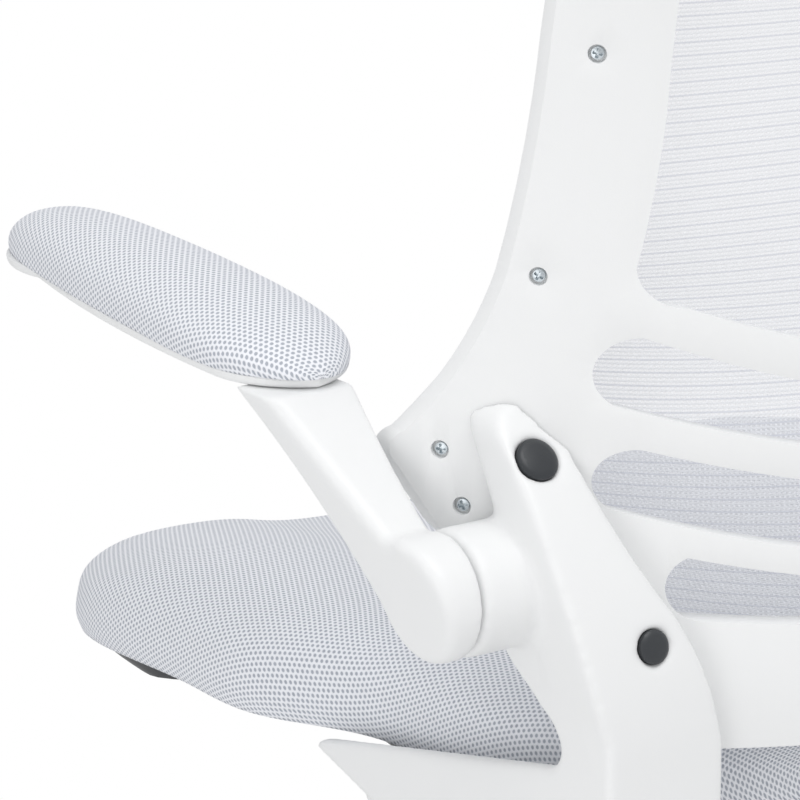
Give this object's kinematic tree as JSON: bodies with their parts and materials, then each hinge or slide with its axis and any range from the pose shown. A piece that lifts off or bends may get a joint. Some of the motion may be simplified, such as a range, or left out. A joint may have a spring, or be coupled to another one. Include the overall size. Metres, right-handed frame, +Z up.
{
  "type": "task chair",
  "caption": "Office task chair: wrapped mesh back in a slotted moulded frame, side brackets with flip-up padded arms, dished seat, tilt mechanism, gas lift and castered star base.",
  "frame": {"origin": "on the floor under the swivel axis, with the gas lift at its lowest", "axes": "+Z up, the sitter faces -Y, +X is the sitter's left"},
  "size_m": [0.6466, 0.6463, 0.9862],
  "materials": {
    "white_plastic": "white moulded nylon, satin",
    "back_mesh": "knitted mesh, slightly see-through",
    "seat_fabric": "spacer mesh with round holes",
    "black_plastic": "black moulded plastic",
    "wheel_tread": "dark grey soft tread",
    "plywood": "bare plywood",
    "zinc_steel": "zinc plated",
    "spring_steel": "oiled spring steel",
    "black_metal": "black powder coat",
    "lift_chrome": "bright steel"
  },
  "bodies": {
    "base": {"base_star": "white_plastic", "lift_column": "black_metal", "lift_guide_bush": "black_plastic", "lift_thrust_bearing": "zinc_steel", "caster_stems": "zinc_steel"},
    "spindle": {"lift_rod": "zinc_steel", "lift_clip": "zinc_steel"},
    "mechanism": {"lift_cylinder": "lift_chrome", "mech_housing": "black_metal", "tilt_shaft": "zinc_steel", "tension_spring": "spring_steel"},
    "button": {"valve_button": "zinc_steel"},
    "rocker": {"lever_bush": "black_plastic"},
    "lever": {"lever_rod": "zinc_steel", "lever_handle": "black_plastic"},
    "tension": {"tension_knob": "black_plastic", "tension_bolt": "zinc_steel"},
    "cup": {"spring_cup": "zinc_steel"},
    "seat": {"seat_plate": "black_metal", "plate_bolts": "zinc_steel", "seat_pan": "black_plastic", "seat_board": "plywood", "seat_cushion": "seat_fabric", "arm_bracket_left": "white_plastic", "arm_bracket_right": "white_plastic", "bracket_seat_bolts": "zinc_steel", "bracket_back_bolts": "zinc_steel", "bracket_caps": "black_plastic", "back_frame": "white_plastic", "mesh_ring": "black_plastic", "back_mesh": "back_mesh", "back_screws": "zinc_steel", "arm_pivots": "zinc_steel"},
    "arm_left": {"arm_lever_left": "white_plastic", "pad_tray_left": "white_plastic", "arm_pad_left": "seat_fabric"},
    "arm_right": {"arm_lever_right": "white_plastic", "pad_tray_right": "white_plastic", "arm_pad_right": "seat_fabric"},
    "caster_front": {"caster_hood_front": "black_plastic", "caster_axle_front": "zinc_steel"},
    "wheel_front_a": {"caster_wheel_front_a": "wheel_tread"},
    "wheel_front_b": {"caster_wheel_front_b": "wheel_tread"},
    "caster_left_front": {"caster_hood_left_front": "black_plastic", "caster_axle_left_front": "zinc_steel"},
    "wheel_left_front_a": {"caster_wheel_left_front_a": "wheel_tread"},
    "wheel_left_front_b": {"caster_wheel_left_front_b": "wheel_tread"},
    "caster_left_rear": {"caster_hood_left_rear": "black_plastic", "caster_axle_left_rear": "zinc_steel"},
    "wheel_left_rear_a": {"caster_wheel_left_rear_a": "wheel_tread"},
    "wheel_left_rear_b": {"caster_wheel_left_rear_b": "wheel_tread"},
    "caster_right_rear": {"caster_hood_right_rear": "black_plastic", "caster_axle_right_rear": "zinc_steel"},
    "wheel_right_rear_a": {"caster_wheel_right_rear_a": "wheel_tread"},
    "wheel_right_rear_b": {"caster_wheel_right_rear_b": "wheel_tread"},
    "caster_right_front": {"caster_hood_right_front": "black_plastic", "caster_axle_right_front": "zinc_steel"},
    "wheel_right_front_a": {"caster_wheel_right_front_a": "wheel_tread"},
    "wheel_right_front_b": {"caster_wheel_right_front_b": "wheel_tread"}
  },
  "joints": [
    {"name": "seat_swivel", "type": "hinge", "parent": "base", "child": "spindle", "pos_m": [0, 0, 0.08], "axis": [0, 0, 1], "continuous": true},
    {"name": "lift_stroke", "type": "slide", "parent": "spindle", "child": "mechanism", "axis": [0, 0, 1], "range_m": [0, 0.095]},
    {"name": "valve_press", "type": "slide", "parent": "mechanism", "child": "button", "axis": [0, 0, -1], "range_m": [0, 0.0042], "stiffness_N_per_m": 1500, "springref_m": -0.004},
    {"name": "lever_lift", "type": "hinge", "parent": "mechanism", "child": "rocker", "pos_m": [-0.057, 0, 0.362], "axis": [0, 1, 0], "range_deg": [0, 4]},
    {"name": "lever_pull", "type": "slide", "parent": "rocker", "child": "lever", "axis": [-1, 0, 0], "range_m": [0, 0.012]},
    {"name": "tension_turn", "type": "hinge", "parent": "mechanism", "child": "tension", "pos_m": [0, -0.085, 0.29], "axis": [0, 0, 1], "range_deg": [0, 1440]},
    {"name": "cup_lift", "type": "slide", "parent": "mechanism", "child": "cup", "axis": [0, 0, 1], "range_m": [0, 0.0061], "deforming": ["tension_spring"]},
    {"name": "seat_tilt", "type": "hinge", "parent": "mechanism", "child": "seat", "pos_m": [0, -0.035, 0.362], "axis": [-1, 0, 0], "range_deg": [0, 15], "stiffness_Nm_per_rad": 150, "springref_deg": -17.19},
    {"name": "arm_left_flip", "type": "hinge", "parent": "seat", "child": "arm_left", "pos_m": [0.281, 0.177, 0.526], "axis": [-1, 0, 0], "range_deg": [0, 90]},
    {"name": "arm_right_flip", "type": "hinge", "parent": "seat", "child": "arm_right", "pos_m": [-0.281, 0.177, 0.526], "axis": [-1, 0, 0], "range_deg": [0, 90]},
    {"name": "caster_front_swivel", "type": "hinge", "parent": "base", "child": "caster_front", "pos_m": [0, -0.28, 0.05], "axis": [0, 0, 1], "continuous": true},
    {"name": "wheel_front_a_roll", "type": "hinge", "parent": "caster_front", "child": "wheel_front_a", "pos_m": [-0.01597, -0.28581, 0.025], "axis": [-0.342, 0.9397, 0], "continuous": true},
    {"name": "wheel_front_b_roll", "type": "hinge", "parent": "caster_front", "child": "wheel_front_b", "pos_m": [-0.01597, -0.28581, 0.025], "axis": [-0.342, 0.9397, 0], "continuous": true},
    {"name": "caster_left_front_swivel", "type": "hinge", "parent": "base", "child": "caster_left_front", "pos_m": [0.2663, -0.08652, 0.05], "axis": [0, 0, 1], "continuous": true},
    {"name": "wheel_left_front_a_roll", "type": "hinge", "parent": "caster_left_front", "child": "wheel_left_front_a", "pos_m": [0.26689, -0.10351, 0.025], "axis": [-0.9994, -0.0349, 0], "continuous": true},
    {"name": "wheel_left_front_b_roll", "type": "hinge", "parent": "caster_left_front", "child": "wheel_left_front_b", "pos_m": [0.26689, -0.10351, 0.025], "axis": [-0.9994, -0.0349, 0], "continuous": true},
    {"name": "caster_left_rear_swivel", "type": "hinge", "parent": "base", "child": "caster_left_rear", "pos_m": [0.16458, 0.22652, 0.05], "axis": [0, 0, 1], "continuous": true},
    {"name": "wheel_left_rear_a_roll", "type": "hinge", "parent": "caster_left_rear", "child": "wheel_left_rear_a", "pos_m": [0.18092, 0.22184, 0.025], "axis": [-0.2756, -0.9613, 0], "continuous": true},
    {"name": "wheel_left_rear_b_roll", "type": "hinge", "parent": "caster_left_rear", "child": "wheel_left_rear_b", "pos_m": [0.18092, 0.22184, 0.025], "axis": [-0.2756, -0.9613, 0], "continuous": true},
    {"name": "caster_right_rear_swivel", "type": "hinge", "parent": "base", "child": "caster_right_rear", "pos_m": [-0.16458, 0.22652, 0.05], "axis": [0, 0, 1], "continuous": true},
    {"name": "wheel_right_rear_a_roll", "type": "hinge", "parent": "caster_right_rear", "child": "wheel_right_rear_a", "pos_m": [-0.15507, 0.24062, 0.025], "axis": [0.829, -0.5592, 0], "continuous": true},
    {"name": "wheel_right_rear_b_roll", "type": "hinge", "parent": "caster_right_rear", "child": "wheel_right_rear_b", "pos_m": [-0.15507, 0.24062, 0.025], "axis": [0.829, -0.5592, 0], "continuous": true},
    {"name": "caster_right_front_swivel", "type": "hinge", "parent": "base", "child": "caster_right_front", "pos_m": [-0.2663, -0.08652, 0.05], "axis": [0, 0, 1], "continuous": true},
    {"name": "wheel_right_front_a_roll", "type": "hinge", "parent": "caster_right_front", "child": "wheel_right_front_a", "pos_m": [-0.27676, -0.07313, 0.025], "axis": [0.788, 0.6157, 0], "continuous": true},
    {"name": "wheel_right_front_b_roll", "type": "hinge", "parent": "caster_right_front", "child": "wheel_right_front_b", "pos_m": [-0.27676, -0.07313, 0.025], "axis": [0.788, 0.6157, 0], "continuous": true}
  ],
  "couplings": [
    {"joint": "valve_press", "follows": "lever_lift", "m_per_rad": 0.058},
    {"joint": "cup_lift", "follows": "tension_turn", "m_per_rad": 0.00023873}
  ]
}
